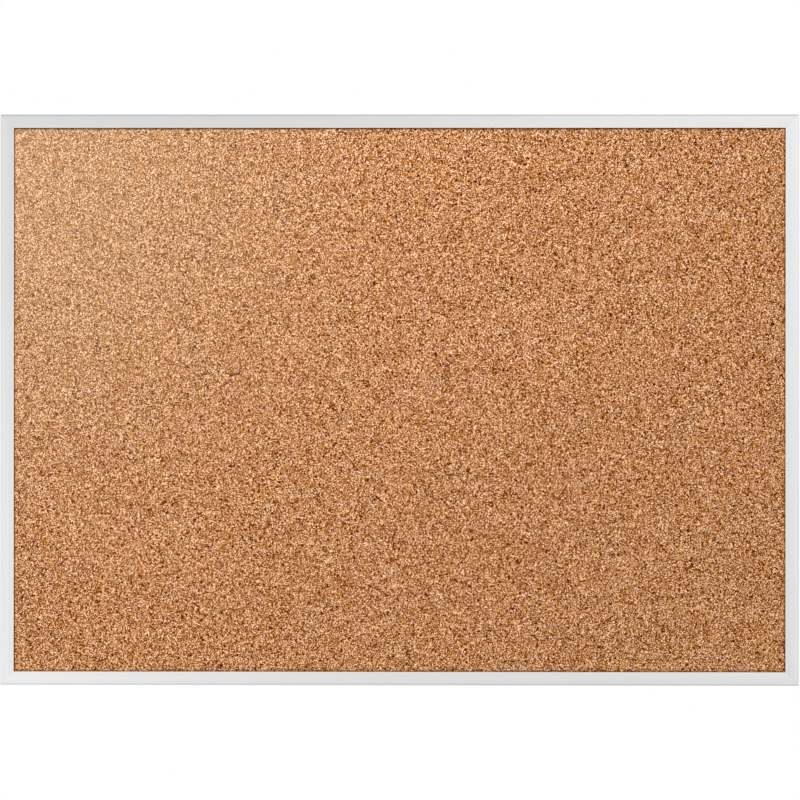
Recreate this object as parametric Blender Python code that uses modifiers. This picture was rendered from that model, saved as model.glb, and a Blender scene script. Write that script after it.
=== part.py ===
"""Cork bulletin board: a pinning panel held in four mitred aluminium rails, hung from two sliding hangers.

Metres, +Z up. The board's front looks along -Y. The origin is the middle of the wall plane, the plane
that the four rubber bumpers touch, so X = 0 and Z = 0 are the middle of the board.
"""

from math import acos, atan2, copysign, cos, degrees, pi, radians, sin, tan

import bmesh
import bpy
from mathutils import Vector

MM = 0.001
WELD = 0.002 * MM  # vertices closer than this become one

# Driving dimensions
BOARD_WIDTH = 610 * MM
BOARD_HEIGHT = 436 * MM
GAP = 0.3 * MM  # left between pieces that touch

# Rail section. u runs inward from the rail's outer side, v from its front face towards the wall.
RAIL_FACE = 10.4 * MM
RAIL_WALL = 1.4 * MM
LIP_THICKNESS = 1.3 * MM
SHELF_THICKNESS = 1.1 * MM
SHELF_END = 8.4 * MM
BEAD_WIDTH = 0.9 * MM
BEAD_HEIGHT = 0.9 * MM
TRACK_WIDTH = 3.0 * MM
REAR_LIP_THICKNESS = 1.2 * MM
FACE_RADIUS = 1.5 * MM
NOSE_RADIUS = 0.5 * MM
MITRE_GAP = 0.1 * MM

# Panel layers
PANEL_EDGE = 2.0 * MM  # from the board's outer edge to the panel's edge
CORK_THICKNESS = 1.8 * MM
CORE_THICKNESS = 5.0 * MM
BACKING_THICKNESS = 0.8 * MM
PANEL_EDGE_RADIUS = 0.2 * MM

# Corner keys and their screws
TRACK_FIT = 0.3 * MM  # clearance of what lies in a rail's track
KEY_ARM = 36 * MM
KEY_CORNER_RADIUS = 1.2 * MM
SCREW_FROM_CORNER = 22 * MM
SHANK_RADIUS = 1.3 * MM
SHANK_TIP = 0.5 * MM
SCREW_HEAD_RADIUS = 2.4 * MM
SCREW_HEAD_HEIGHT = 1.5 * MM
SCREW_HEAD_EDGE = 0.4 * MM
RECESS_LENGTH = 2.6 * MM
RECESS_WIDTH = 0.6 * MM
RECESS_DEPTH = 0.9 * MM
RECESS_EDGE = 0.05 * MM

# Sliding hangers
HANGER_SPACING = 406.4 * MM  # the 16 inch spacing of wall studs
HANGER_WIDTH = 30 * MM
HANGER_SHEET = 1.2 * MM
FOLD_RADIUS = 0.5 * MM
TONGUE_WIDTH = 22 * MM
TONGUE_LENGTH = 37 * MM  # from the rail's outer side
SHOULDER_RADIUS = 1.5 * MM
SHOULDER_DROP = 1.6 * MM  # that the bar shows below the rail
KEYHOLE_RADIUS = 5.2 * MM
KEYHOLE_DOWN = 26 * MM  # middle of the round opening, from the rail's outer side
SLOT_RADIUS = 2.6 * MM
SLOT_TOP_DOWN = 14.5 * MM  # middle of the slot's round end

# Wall bumpers
BUMPER_RADIUS = 3.8 * MM
BUMPER_FLAT_RADIUS = 2.6 * MM
BUMPER_HEIGHT = 2.2 * MM
BUMPER_FROM_CORNER = 52 * MM

# Depths from the front face, worked out from the layers above
CORK_FRONT = LIP_THICKNESS + GAP
CORE_FRONT = CORK_FRONT + CORK_THICKNESS + GAP
BACKING_FRONT = CORE_FRONT + CORE_THICKNESS + GAP
SHELF_FRONT = BACKING_FRONT + BACKING_THICKNESS + GAP
TRACK_FRONT = SHELF_FRONT + SHELF_THICKNESS
TRACK_BACK = TRACK_FRONT + TRACK_WIDTH
RAIL_DEPTH = TRACK_BACK + REAR_LIP_THICKNESS
WALL_DEPTH = RAIL_DEPTH + GAP + BUMPER_HEIGHT

# What lies in the track spans these, in v and in u
SLIDER_FRONT = TRACK_FRONT + TRACK_FIT
SLIDER_BACK = TRACK_BACK - TRACK_FIT
SLIDER_OUTER = RAIL_WALL + TRACK_FIT
SLIDER_INNER = SHELF_END - BEAD_WIDTH - TRACK_FIT
TRACK_MIDDLE = (SLIDER_OUTER + SLIDER_INNER) / 2

# Corner signs in X and Z, with the quarter turns about Y that carry the lower left corner to each
CORNERS = {
    "bottom_left": (-1, -1, 0),
    "top_left": (-1, 1, 1),
    "top_right": (1, 1, 2),
    "bottom_right": (1, -1, 3),
}


# --- Scene and objects -------------------------------------------------------------------------------


def clear_scene():
    for old in list(bpy.data.objects):
        bpy.data.objects.remove(old)


def new_collection(name):
    made = bpy.data.collections.new(name)
    bpy.context.scene.collection.children.link(made)
    return made


def material(name, colour, roughness, metallic=0.0):
    made = bpy.data.materials.new(name)
    made.use_nodes = True
    shader = made.node_tree.nodes["Principled BSDF"]
    shader.inputs["Base Color"].default_value = (*colour, 1.0)
    shader.inputs["Roughness"].default_value = roughness
    shader.inputs["Metallic"].default_value = metallic
    return made


def add_object(name, mesh, collection, finish=None, location=(0, 0, 0), rotation=(0, 0, 0)):
    made = bpy.data.objects.new(name, mesh)
    made.location = location
    made.rotation_euler = rotation
    collection.objects.link(made)
    if finish and not mesh.materials:
        mesh.materials.append(finish)
    return made


def as_mesh(source):
    """The evaluated mesh of an object, with its seams welded. The object and its cutters are removed."""
    bpy.context.view_layer.update()
    graph = bpy.context.evaluated_depsgraph_get()
    mesh = bpy.data.meshes.new_from_object(source.evaluated_get(graph), depsgraph=graph)
    work = bmesh.new()
    work.from_mesh(mesh)
    bmesh.ops.remove_doubles(work, verts=work.verts, dist=WELD)
    bmesh.ops.recalc_face_normals(work, faces=work.faces)
    work.to_mesh(mesh)
    work.free()
    mesh.shade_smooth()
    mesh.set_sharp_from_angle(angle=radians(30))
    used = [modifier.object for modifier in source.modifiers if modifier.type == "BOOLEAN"]
    for finished in (source, *used):
        bpy.data.objects.remove(finished)
    return mesh


# --- Outlines and solids -----------------------------------------------------------------------------


def arc(centre, radius, start, end, steps):
    """Points on an arc, angles in degrees, both ends included."""
    angles = [radians(start + (end - start) * i / steps) for i in range(steps + 1)]
    return [(centre[0] + radius * cos(a), centre[1] + radius * sin(a)) for a in angles]


def circle(centre, radius, steps=24):
    return arc(centre, radius, 0, 360, steps)[:-1]


def rounded(corners, radius, steps=4):
    """A closed outline with each corner replaced by an arc that touches both of its sides."""
    points = []
    for i, here in enumerate(corners):
        corner = Vector(here)
        before = (Vector(corners[i - 1]) - corner).normalized()
        after = (Vector(corners[(i + 1) % len(corners)]) - corner).normalized()
        half = before.angle(after) / 2
        centre = corner + (before + after).normalized() * (radius / sin(half))
        first = corner + before * (radius / tan(half)) - centre
        last = corner + after * (radius / tan(half)) - centre
        start = atan2(first.y, first.x)
        turn = atan2(last.y, last.x) - start
        turn -= 2 * pi * round(turn / (2 * pi))
        for step in range(steps + 1):
            angle = start + turn * step / steps
            points.append((centre.x + radius * cos(angle), centre.y + radius * sin(angle)))
    return points


def extruded(outlines, thickness):
    """A mesh of thickness along local Z about a flat outline; outlines after the first are holes."""
    flat = bpy.data.curves.new("outline", "CURVE")
    flat.dimensions = "2D"
    flat.fill_mode = "BOTH"
    flat.extrude = thickness / 2
    for points in outlines:
        spline = flat.splines.new("POLY")
        spline.points.add(len(points) - 1)
        spline.use_cyclic_u = True
        for control, (x, y) in zip(spline.points, points):
            control.co = (x, y, 0, 1)
    return as_mesh(add_object("outline", flat, parts))


def turned(profile, steps):
    """A mesh turned about local Z from (radius, height) points that run down the outside."""
    line = bpy.data.meshes.new("profile")
    edges = [(i, i + 1) for i in range(len(profile) - 1)]
    line.from_pydata([(radius, 0, height) for radius, height in profile], edges, [])
    lathe = add_object("profile", line, parts)
    screw = lathe.modifiers.new("turn", "SCREW")
    screw.steps = screw.render_steps = steps
    screw.use_merge_vertices = True
    screw.merge_threshold = WELD
    return as_mesh(lathe)


def block(size, edge_radius):
    """A box mesh about its own middle, with its edges rounded."""
    work = bmesh.new()
    bmesh.ops.create_cube(work, size=1.0)
    bmesh.ops.scale(work, vec=size, verts=work.verts)
    mesh = bpy.data.meshes.new("block")
    work.to_mesh(mesh)
    work.free()
    box = add_object("block", mesh, parts)
    bevel = box.modifiers.new("edges", "BEVEL")
    bevel.width = edge_radius
    bevel.segments = 2
    return as_mesh(box)


def cutter(name, mesh, location, rotation=(0, 0, 0)):
    made = add_object(name, mesh, cutters, location=location, rotation=rotation)
    made.hide_render = True
    made.display_type = "WIRE"
    return made


def combine(target, operation, other):
    boolean = target.modifiers.new(other.name, "BOOLEAN")
    boolean.operation = operation
    boolean.solver = "EXACT"
    boolean.object = other


# --- Aluminium rails ---------------------------------------------------------------------------------


def rail_section():
    """The extrusion's outline in (u, v): front lip, shelf behind the panel, and the track's rear lip."""
    bead_start = SHELF_END - BEAD_WIDTH
    bead_back = TRACK_FRONT + BEAD_HEIGHT
    return [
        *arc((FACE_RADIUS, FACE_RADIUS), FACE_RADIUS, 180, 270, 8),
        *arc((RAIL_FACE - NOSE_RADIUS, NOSE_RADIUS), NOSE_RADIUS, 270, 360, 5),
        (RAIL_FACE, LIP_THICKNESS),
        (RAIL_WALL, LIP_THICKNESS),
        (RAIL_WALL, SHELF_FRONT),
        (SHELF_END, SHELF_FRONT),
        (SHELF_END, bead_back),
        (bead_start, bead_back),
        (bead_start, TRACK_FRONT),
        (RAIL_WALL, TRACK_FRONT),
        (RAIL_WALL, TRACK_BACK),
        (SHELF_END, TRACK_BACK),
        (SHELF_END, RAIL_DEPTH),
        *arc((NOSE_RADIUS, RAIL_DEPTH - NOSE_RADIUS), NOSE_RADIUS, 90, 180, 4),
    ]


def add_rail(name, length, quarter_turns, location):
    """One mitred rail. Unturned it stands on the board's left: u is +X, v is +Y, its length is Z."""
    mesh = extruded([rail_section()], length)
    for vertex in mesh.vertices:
        vertex.co.z = copysign(length / 2 - MITRE_GAP - vertex.co.x, vertex.co.z)
    rail = add_object(name, mesh, parts, aluminium, location, (0, quarter_turns * pi / 2, 0))
    turn = rail.rotation_euler.to_matrix()
    for end in (-1, 1):
        along = end * (length / 2 - SCREW_FROM_CORNER)
        middle = turn @ Vector((TRACK_MIDDLE, (TRACK_BACK + RAIL_DEPTH) / 2, along))
        hole = extruded([circle((0, 0), SHANK_RADIUS + GAP)], TRACK_WIDTH)
        combine(rail, "DIFFERENCE", cutter(f"{name}_drill", hole, rail.location + middle, (pi / 2, 0, 0)))
    flat_faces = rail.modifiers.new("flat_faces", "WEIGHTED_NORMAL")
    flat_faces.keep_sharp = True


def add_rails():
    half_width, half_height = BOARD_WIDTH / 2, BOARD_HEIGHT / 2
    add_rail("frame_rail_left", BOARD_HEIGHT, 0, (-half_width, -WALL_DEPTH, 0))
    add_rail("frame_rail_top", BOARD_WIDTH, 1, (0, -WALL_DEPTH, half_height))
    add_rail("frame_rail_right", BOARD_HEIGHT, 2, (half_width, -WALL_DEPTH, 0))
    add_rail("frame_rail_bottom", BOARD_WIDTH, 3, (0, -WALL_DEPTH, -half_height))


# --- Pinning panel -----------------------------------------------------------------------------------


def add_panel_layer(name, front, thickness, finish):
    size = (BOARD_WIDTH - 2 * PANEL_EDGE, thickness, BOARD_HEIGHT - 2 * PANEL_EDGE)
    middle = front + thickness / 2 - WALL_DEPTH
    add_object(name, block(size, PANEL_EDGE_RADIUS), parts, finish, (0, middle, 0))


def add_panel():
    add_panel_layer("cork_sheet", CORK_FRONT, CORK_THICKNESS, cork)
    add_panel_layer("fibreboard_core", CORE_FRONT, CORE_THICKNESS, fibreboard)
    add_panel_layer("backing_sheet", BACKING_FRONT, BACKING_THICKNESS, kraft)


# --- Corner keys, screws and bumpers -----------------------------------------------------------------


def key_mesh():
    """An L that lies in the tracks of two rails, with its outer corner at (SLIDER_OUTER, SLIDER_OUTER)."""
    outer, inner, arm = SLIDER_OUTER, SLIDER_INNER, KEY_ARM
    corners = [(outer, outer), (arm, outer), (arm, inner), (inner, inner), (inner, arm), (outer, arm)]
    holes = [
        circle((SCREW_FROM_CORNER, TRACK_MIDDLE), SHANK_RADIUS + GAP),
        circle((TRACK_MIDDLE, SCREW_FROM_CORNER), SHANK_RADIUS + GAP),
    ]
    return extruded([rounded(corners, KEY_CORNER_RADIUS), *holes], SLIDER_BACK - SLIDER_FRONT)


def screw_mesh():
    """A pan-head screw along local Z, head up, with the head's underside at Z = 0 and a cross recess."""
    shank_length = RAIL_DEPTH + GAP - SLIDER_FRONT
    head_middle = (SCREW_HEAD_RADIUS - SCREW_HEAD_EDGE, SCREW_HEAD_HEIGHT - SCREW_HEAD_EDGE)
    head = arc(head_middle, SCREW_HEAD_EDGE, 90, 0, 4)
    profile = [
        (0, SCREW_HEAD_HEIGHT),
        *head,
        (SCREW_HEAD_RADIUS, 0),
        (SHANK_RADIUS, 0),
        (SHANK_RADIUS, SHANK_TIP - shank_length),
        (SHANK_RADIUS - SHANK_TIP, -shank_length),
        (0, -shank_length),
    ]
    screw = add_object("screw", turned(profile, 24), parts)
    for turn in (0, pi / 2):
        slot = block((RECESS_LENGTH, RECESS_WIDTH, 2 * RECESS_DEPTH), RECESS_EDGE)
        combine(screw, "DIFFERENCE", cutter("recess", slot, (0, 0, SCREW_HEAD_HEIGHT), (0, 0, turn)))
    return as_mesh(screw)


def bumper_mesh():
    """A dome along local Z with a flat end: its base at Z = 0, its contact face at Z = BUMPER_HEIGHT."""
    round_over = BUMPER_RADIUS - BUMPER_FLAT_RADIUS
    profile = [
        (0, BUMPER_HEIGHT),
        *arc((BUMPER_FLAT_RADIUS, BUMPER_HEIGHT - round_over), round_over, 90, 0, 6),
        (BUMPER_RADIUS, 0),
        (0, 0),
    ]
    return turned(profile, 32)


def add_corner_pieces():
    """At each corner: a key in the tracks, a screw through each rail's rear lip, and one bumper."""
    key, screw, bumper = key_mesh(), screw_mesh(), bumper_mesh()
    towards_wall = -pi / 2
    lip_back = RAIL_DEPTH + GAP - WALL_DEPTH
    for corner, (sign_x, sign_z, quarter_turns) in CORNERS.items():
        x, z = sign_x * BOARD_WIDTH / 2, sign_z * BOARD_HEIGHT / 2
        middle = (SLIDER_FRONT + SLIDER_BACK) / 2 - WALL_DEPTH
        add_object(f"corner_key_{corner}", key, parts, zinc, (x, middle, z),
                   (pi / 2, quarter_turns * pi / 2, 0))
        on_level = (x - sign_x * SCREW_FROM_CORNER, lip_back, z - sign_z * TRACK_MIDDLE)
        on_upright = (x - sign_x * TRACK_MIDDLE, lip_back, z - sign_z * SCREW_FROM_CORNER)
        add_object(f"key_screw_{corner}_level", screw, parts, zinc, on_level, (towards_wall, 0, 0))
        add_object(f"key_screw_{corner}_upright", screw, parts, zinc, on_upright, (towards_wall, 0, 0))
        foot = (x - sign_x * BUMPER_FROM_CORNER, lip_back, z - sign_z * TRACK_MIDDLE)
        add_object(f"wall_bumper_{corner}", bumper, parts, rubber, foot, (towards_wall, 0, 0))


# --- Sliding hangers ---------------------------------------------------------------------------------


def hanger_outline():
    """The plate's outline, local X across and local Y up from the rail's outer side."""
    half_bar, half_tongue = HANGER_WIDTH / 2, TONGUE_WIDTH / 2
    bar_bottom = -(SHELF_END + SHOULDER_DROP)
    return rounded(
        [
            (half_bar, -SLIDER_OUTER),
            (-half_bar, -SLIDER_OUTER),
            (-half_bar, bar_bottom),
            (-half_tongue, bar_bottom),
            (-half_tongue, -TONGUE_LENGTH),
            (half_tongue, -TONGUE_LENGTH),
            (half_tongue, bar_bottom),
            (half_bar, bar_bottom),
        ],
        SHOULDER_RADIUS,
    )


def keyhole():
    """A round opening for the screw's head, with a slot above it for the shank, as one outline."""
    meet = degrees(acos(SLOT_RADIUS / KEYHOLE_RADIUS))
    opening = arc((0, -KEYHOLE_DOWN), KEYHOLE_RADIUS, 180 - meet, 360 + meet, 24)
    slot_end = arc((0, -SLOT_TOP_DOWN), SLOT_RADIUS, 0, 180, 12)
    return opening + slot_end


def hanger_mesh():
    """Sheet steel, flat in local XY, with its top edge folded forward so that the rail's bead holds it."""
    plate = add_object("plate", extruded([hanger_outline(), keyhole()], HANGER_SHEET), parts)
    fold_front = SLIDER_BACK - SLIDER_FRONT - HANGER_SHEET / 2
    fold_size = (HANGER_WIDTH - 2 * SHOULDER_RADIUS, SLIDER_INNER - SLIDER_OUTER, fold_front)
    fold_middle = (0, -(SLIDER_INNER + SLIDER_OUTER) / 2, fold_front / 2)
    combine(plate, "UNION", cutter("fold", block(fold_size, FOLD_RADIUS), fold_middle))
    return as_mesh(plate)


def add_hangers():
    mesh = hanger_mesh()
    plate_middle = SLIDER_BACK - HANGER_SHEET / 2 - WALL_DEPTH
    for side, sign in (("left", -1), ("right", 1)):
        place = (sign * HANGER_SPACING / 2, plate_middle, BOARD_HEIGHT / 2)
        add_object(f"hanger_{side}", mesh, parts, zinc, place, (pi / 2, 0, 0))


# --- The object --------------------------------------------------------------------------------------

clear_scene()
parts = new_collection("cork_bulletin_board")
cutters = new_collection("cutters")

aluminium = material("satin_anodised_aluminium", (0.74, 0.75, 0.76), 0.35, 1.0)
cork = material("granulated_cork", (0.53, 0.27, 0.12), 0.85)
fibreboard = material("fibreboard", (0.36, 0.24, 0.14), 0.9)
kraft = material("kraft_backing", (0.45, 0.31, 0.19), 0.85)
zinc = material("zinc_plated_steel", (0.62, 0.63, 0.64), 0.3, 1.0)
rubber = material("clear_grey_rubber", (0.35, 0.35, 0.35), 0.5)

add_rails()
add_panel()
add_corner_pieces()
add_hangers()
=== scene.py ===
"""Looks of a cork bulletin board: a granulated cork panel in four mitred rails of satin aluminium.

Everything is in metres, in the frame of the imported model. The board's front looks along -Y, +Z is up,
X = 0 and Z = 0 are the board's middle, and Y = 0 is the wall plane that the rubber bumpers touch.
"""

from math import acos, atan2, cos, degrees, pi, radians, sin, tan

import bmesh
import bpy
import numpy as np
from mathutils import Matrix, Vector


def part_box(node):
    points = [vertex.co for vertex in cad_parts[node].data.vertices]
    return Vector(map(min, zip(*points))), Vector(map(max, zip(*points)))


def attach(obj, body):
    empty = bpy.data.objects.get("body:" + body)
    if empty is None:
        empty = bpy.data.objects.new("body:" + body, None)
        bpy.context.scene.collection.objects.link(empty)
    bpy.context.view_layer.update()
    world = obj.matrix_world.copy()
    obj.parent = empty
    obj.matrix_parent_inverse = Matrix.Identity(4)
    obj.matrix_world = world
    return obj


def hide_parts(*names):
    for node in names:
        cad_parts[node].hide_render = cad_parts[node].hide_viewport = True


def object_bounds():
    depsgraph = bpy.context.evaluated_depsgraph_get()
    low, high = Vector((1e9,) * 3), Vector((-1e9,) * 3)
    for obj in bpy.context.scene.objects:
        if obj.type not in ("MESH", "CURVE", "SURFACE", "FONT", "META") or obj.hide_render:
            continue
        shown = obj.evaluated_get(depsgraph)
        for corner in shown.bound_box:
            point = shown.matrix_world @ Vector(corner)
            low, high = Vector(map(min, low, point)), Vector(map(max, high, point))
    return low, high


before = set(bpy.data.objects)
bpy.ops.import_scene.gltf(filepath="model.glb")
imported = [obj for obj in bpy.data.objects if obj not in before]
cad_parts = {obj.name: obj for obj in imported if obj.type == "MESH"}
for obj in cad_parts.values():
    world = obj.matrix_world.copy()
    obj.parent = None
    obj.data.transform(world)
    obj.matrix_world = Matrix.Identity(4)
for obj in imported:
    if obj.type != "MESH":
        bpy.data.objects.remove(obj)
CAD_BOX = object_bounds()

MM = 0.001
PER_METRE = 1000.0  # texture coordinates are in millimetres
WELD = 0.002 * MM
GAP = 0.3 * MM  # between pieces that touch

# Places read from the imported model
BOARD_LOW, BOARD_HIGH = CAD_BOX
RAIL_LOW, RAIL_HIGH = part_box("frame_rail_left")
CORK_LOW, CORK_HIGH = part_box("cork_sheet")
BACKING_LOW, BACKING_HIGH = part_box("backing_sheet")
KEY_LOW, KEY_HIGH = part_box("corner_key_bottom_left")
FRONT = BOARD_LOW.y
BOARD_WIDTH = BOARD_HIGH.x - BOARD_LOW.x
BOARD_HEIGHT = BOARD_HIGH.z - BOARD_LOW.z

# Rail section. u runs inward from the rail's outer side, v from its front face towards the wall.
RAIL_FACE = RAIL_HIGH.x - RAIL_LOW.x
RAIL_DEPTH = RAIL_HIGH.y - RAIL_LOW.y
LIP_BACK = CORK_LOW.y - GAP - FRONT
SHELF_FRONT = BACKING_HIGH.y + GAP - FRONT
TRACK_FRONT = KEY_LOW.y - GAP - FRONT
TRACK_BACK = KEY_HIGH.y + GAP - FRONT
RAIL_WALL = KEY_LOW.x - GAP - RAIL_LOW.x
SHELF_END = 8.4 * MM
BEAD = 0.9 * MM
FACE_RADIUS = 1.5 * MM
NOSE_RADIUS = 0.7 * MM
FACE_SLOPE = 0.05  # of the crowned face, either side of its middle
CROWN_REACH = 3.5 * MM
BACK_RADIUS = 0.5 * MM
OUTER_CORNER = 0.2 * MM
INNER_CORNER = 0.25 * MM
MITRE_GAP = 0.003 * MM
MITRE_BEVEL = 0.03 * MM
SHANK_HOLE = 1.6 * MM  # radius
RAIL_STATIONS = 5  # cross-sections along a rail
BRIGHTEST_TONE = 1.2  # of the rails' colour, with its painted light, shade and highlight, which keeps it from reflecting more light than it gets

# Screws, bumpers and hangers
SCREW_HEAD_RADIUS = 2.4 * MM
SCREW_HEAD_HEIGHT = 1.5 * MM
SCREW_SHANK_RADIUS = 1.3 * MM
SCREW_PITCH = 1.0 * MM
RECESS_SPAN = 2.7 * MM
RECESS_WIDTH = 0.62 * MM
RECESS_DEPTH = 0.95 * MM
BUMPER_FLAT_RADIUS = 2.6 * MM
HANGER_SHEET = 1.2 * MM
TONGUE_WIDTH = 22 * MM
SHOULDER_RADIUS = 1.5 * MM
SHOULDER_DROP = 10 * MM  # the bar's lower edge, from the rail's outer side
HEM_HEIGHT = 5.5 * MM
HEM_INSET = 0.2 * MM  # of the folded edge, inside the hanger's box
HEM_BEVEL = 0.15 * MM
KEYHOLE_RADIUS = 5.2 * MM
KEYHOLE_DOWN = 26 * MM
SLOT_RADIUS = 2.6 * MM
SLOT_TOP_DOWN = 14.5 * MM

# Cork relief
CORK_STEP = 1.0 * MM
CORK_RELIEF = 0.45 * MM  # from the highest granule to the deepest pit
COARSE_GRANULE = 3.2  # granule sizes are in millimetres
MEDIUM_GRANULE = 1.35
FINE_GRANULE = 0.71
BARK_TONE = 0.15  # of a bark granule, as a share of the tone it would have
LIP_SHADE_TONE = 0.22  # painted shade: how much darker the cork is beside the lips
OPENING_HALF = Vector((BOARD_WIDTH / 2 - RAIL_FACE, 0, BOARD_HEIGHT / 2 - RAIL_FACE))
PRESSED_AND_SHADED_WIDTH = 1.4  # millimetres of cork along the rails' lips that they press down and that carry painted shade
PAINTED_SHEEN_REACH = 300.0  # millimetres from its top left corner over which the cork is paler with painted sheen

# Backing paper
BACKING_STEP = 5 * MM
PUCKER_DEPTH = 0.12 * MM

# Camera
CAMERA_DISTANCE = 3.0
CAMERA_LENS = 176.81  # millimetres, on a sensor 36 mm wide
CAMERA_AIM = Vector((0.54 * MM, 0, -0.12 * MM))  # from the middle of the frame's front
CAMERA_YAW = radians(0.55)
CAMERA_ROLL = radians(0.034)

# Studio
FLOOR_DROP = 1.2  # below the board's middle
FLOOR_RADIUS = 7.0
OVERHEAD_LEVEL = 0.70  # of the studio's light, which is 1 in front and behind
SIDE_LEVEL = 0.88  # of the same light, at the sides
KEY_PLACE = (-0.72, -1.25, 1.25)
KEY_SIZE = 0.8
KEY_POWER = 52.0

TOWARDS_WALL = Matrix.Rotation(-pi / 2, 3, "X")  # turns local Z to +Y

# --- Meshes ------------------------------------------------------------------------------------------


def object_from(mesh, name):
    made = bpy.data.objects.new(name, mesh)
    bpy.context.scene.collection.objects.link(made)
    return made


def applied(source):
    """The object with its modifiers applied. Objects that its Booleans used are removed."""
    bpy.context.view_layer.update()
    graph = bpy.context.evaluated_depsgraph_get()
    mesh = bpy.data.meshes.new_from_object(source.evaluated_get(graph), depsgraph=graph)
    used = {m.object for m in source.modifiers if m.type == "BOOLEAN"}
    source.modifiers.clear()
    source.data = mesh
    for cutter in used:
        bpy.data.objects.remove(cutter)
    return source


def welded(mesh):
    work = bmesh.new()
    work.from_mesh(mesh)
    bmesh.ops.remove_doubles(work, verts=work.verts, dist=WELD)
    bmesh.ops.recalc_face_normals(work, faces=work.faces)
    work.to_mesh(mesh)
    work.free()
    return mesh


def smooth(mesh, angle):
    """Smooth shading, but for edges sharper than angle, in degrees."""
    mesh.shade_smooth()
    mesh.set_sharp_from_angle(angle=radians(angle))
    return mesh


def flat_faces(made):
    """Keeps flat faces flat next to rounded edges."""
    weighted = made.modifiers.new("flat_faces", "WEIGHTED_NORMAL")
    weighted.keep_sharp = True
    return applied(made)


def combine(target, operation, other):
    boolean = target.modifiers.new(other.name, "BOOLEAN")
    boolean.operation = operation
    boolean.solver = "EXACT"
    boolean.object = other


def bevelled(made, width, segments, angle):
    bevel = made.modifiers.new("edges", "BEVEL")
    bevel.width = width
    bevel.segments = segments
    bevel.limit_method = "ANGLE"
    bevel.angle_limit = radians(angle)
    return made


def arc(centre, radius, start, end, steps):
    """Points on an arc, angles in degrees, both ends included."""
    angles = [radians(start + (end - start) * i / steps) for i in range(steps + 1)]
    return [(centre[0] + radius * cos(a), centre[1] + radius * sin(a)) for a in angles]


def rounded(corners):
    """A closed outline from (x, y, radius) corners, each replaced by an arc that touches both sides."""
    points = []
    for i, (x, y, radius) in enumerate(corners):
        corner = Vector((x, y))
        before = (Vector(corners[i - 1][:2]) - corner).normalized()
        after = (Vector(corners[(i + 1) % len(corners)][:2]) - corner).normalized()
        half = before.angle(after) / 2
        centre = corner + (before + after).normalized() * (radius / sin(half))
        first = corner + before * (radius / tan(half)) - centre
        last = corner + after * (radius / tan(half)) - centre
        start = atan2(first.y, first.x)
        turn = atan2(last.y, last.x) - start
        turn -= 2 * pi * round(turn / (2 * pi))
        steps = min(24, max(4, round(abs(turn) * radius / (0.1 * MM))))
        for step in range(steps + 1):
            angle = start + turn * step / steps
            points.append((centre.x + radius * cos(angle), centre.y + radius * sin(angle)))
    return points


def inset(outline, distance):
    """The outline moved inwards by distance, for a counterclockwise outline."""
    moved = []
    for i, here in enumerate(outline):
        point = Vector(here)
        before = (point - Vector(outline[i - 1])).normalized()
        after = (Vector(outline[(i + 1) % len(outline)]) - point).normalized()
        along = (before + after).normalized()
        lean = max(0.5, along.dot(before))
        moved.append(tuple(point + Vector((-along.y, along.x)) * (distance / lean)))
    return moved


def lofted(rings, name):
    """A closed mesh through rings of the same number of points, with its two ends filled."""
    work = bmesh.new()
    loops = [[work.verts.new(point) for point in ring] for ring in rings]
    for low, high in zip(loops, loops[1:]):
        for i in range(len(low)):
            work.faces.new((low[i - 1], low[i], high[i], high[i - 1]))
    work.faces.new(loops[0])
    work.faces.new(loops[-1])
    bmesh.ops.recalc_face_normals(work, faces=work.faces)
    mesh = bpy.data.meshes.new(name)
    work.to_mesh(mesh)
    work.free()
    return mesh


def extruded(outlines, thickness, name):
    """A mesh of thickness along local Z about a flat outline; outlines after the first are holes."""
    flat = bpy.data.curves.new(name, "CURVE")
    flat.dimensions = "2D"
    flat.fill_mode = "BOTH"
    flat.extrude = thickness / 2
    for points in outlines:
        spline = flat.splines.new("POLY")
        spline.points.add(len(points) - 1)
        spline.use_cyclic_u = True
        for control, (x, y) in zip(spline.points, points):
            control.co = (x, y, 0, 1)
    curve = object_from(flat, name)
    bpy.context.view_layer.update()
    graph = bpy.context.evaluated_depsgraph_get()
    mesh = bpy.data.meshes.new_from_object(curve.evaluated_get(graph), depsgraph=graph)
    bpy.data.objects.remove(curve)
    return object_from(welded(mesh), name)


def turned(profile, steps, name):
    """A mesh turned about local Z from (radius, height) points, with closed ends on the axis."""
    work = bmesh.new()
    rings = []
    for radius, height in profile:
        angles = [2 * pi * i / steps for i in range(steps)] if radius > WELD else [0]
        rings.append([work.verts.new((radius * cos(a), radius * sin(a), height)) for a in angles])
    for low, high in zip(rings, rings[1:]):
        for i in range(steps):
            if len(low) == 1:
                corners = [low[0], high[i], high[i - 1]]
            elif len(high) == 1:
                corners = [low[i - 1], low[i], high[0]]
            else:
                corners = [low[i - 1], low[i], high[i], high[i - 1]]
            work.faces.new(corners)
    bmesh.ops.recalc_face_normals(work, faces=work.faces)
    mesh = bpy.data.meshes.new(name)
    work.to_mesh(mesh)
    work.free()
    return object_from(mesh, name)


def placed(made, location, turn=None):
    """Moves the mesh itself, so that its object stays at the origin."""
    matrix = Matrix.Translation(location) @ (turn.to_4x4() if turn else Matrix.Identity(4))
    made.data.transform(matrix)
    return made


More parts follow.
